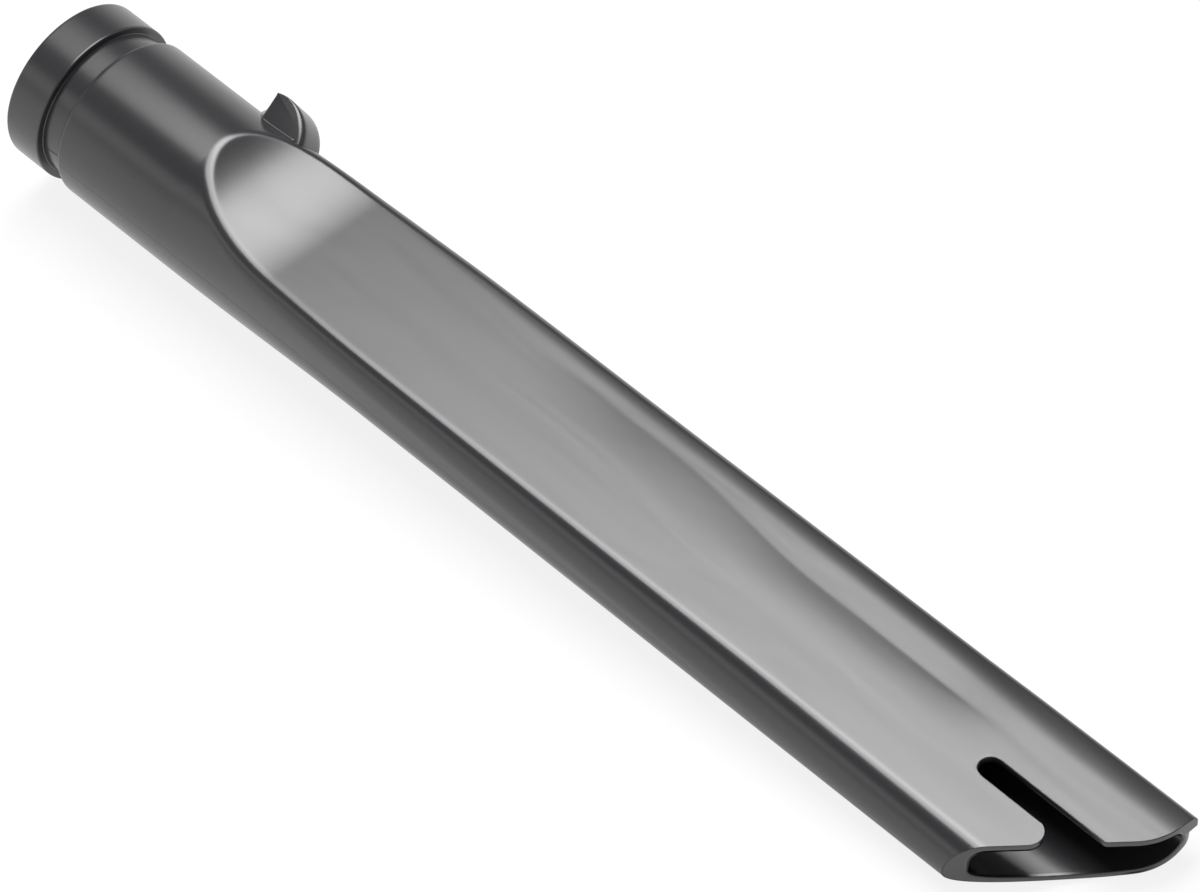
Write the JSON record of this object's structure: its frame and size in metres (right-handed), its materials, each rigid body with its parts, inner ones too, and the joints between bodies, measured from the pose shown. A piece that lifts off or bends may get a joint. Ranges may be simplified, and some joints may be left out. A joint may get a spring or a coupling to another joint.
{
  "type": "vacuum crevice tool",
  "caption": "Long crevice tool for a vacuum cleaner: a round push-on socket, a tube that flattens into a scooped blade, and a slanted, slotted tip.",
  "frame": {"origin": "centre of the socket's mouth, on the axis of the socket", "axes": "+X along the tool from the socket to the tip, +Y across it towards the catch lug, +Z towards the side with the scooped face"},
  "size_m": [0.324, 0.0457, 0.04],
  "materials": {
    "body": "satin, dark iron grey"
  },
  "bodies": {
    "root": {"crevice_tool": "body"}
  },
  "joints": []
}
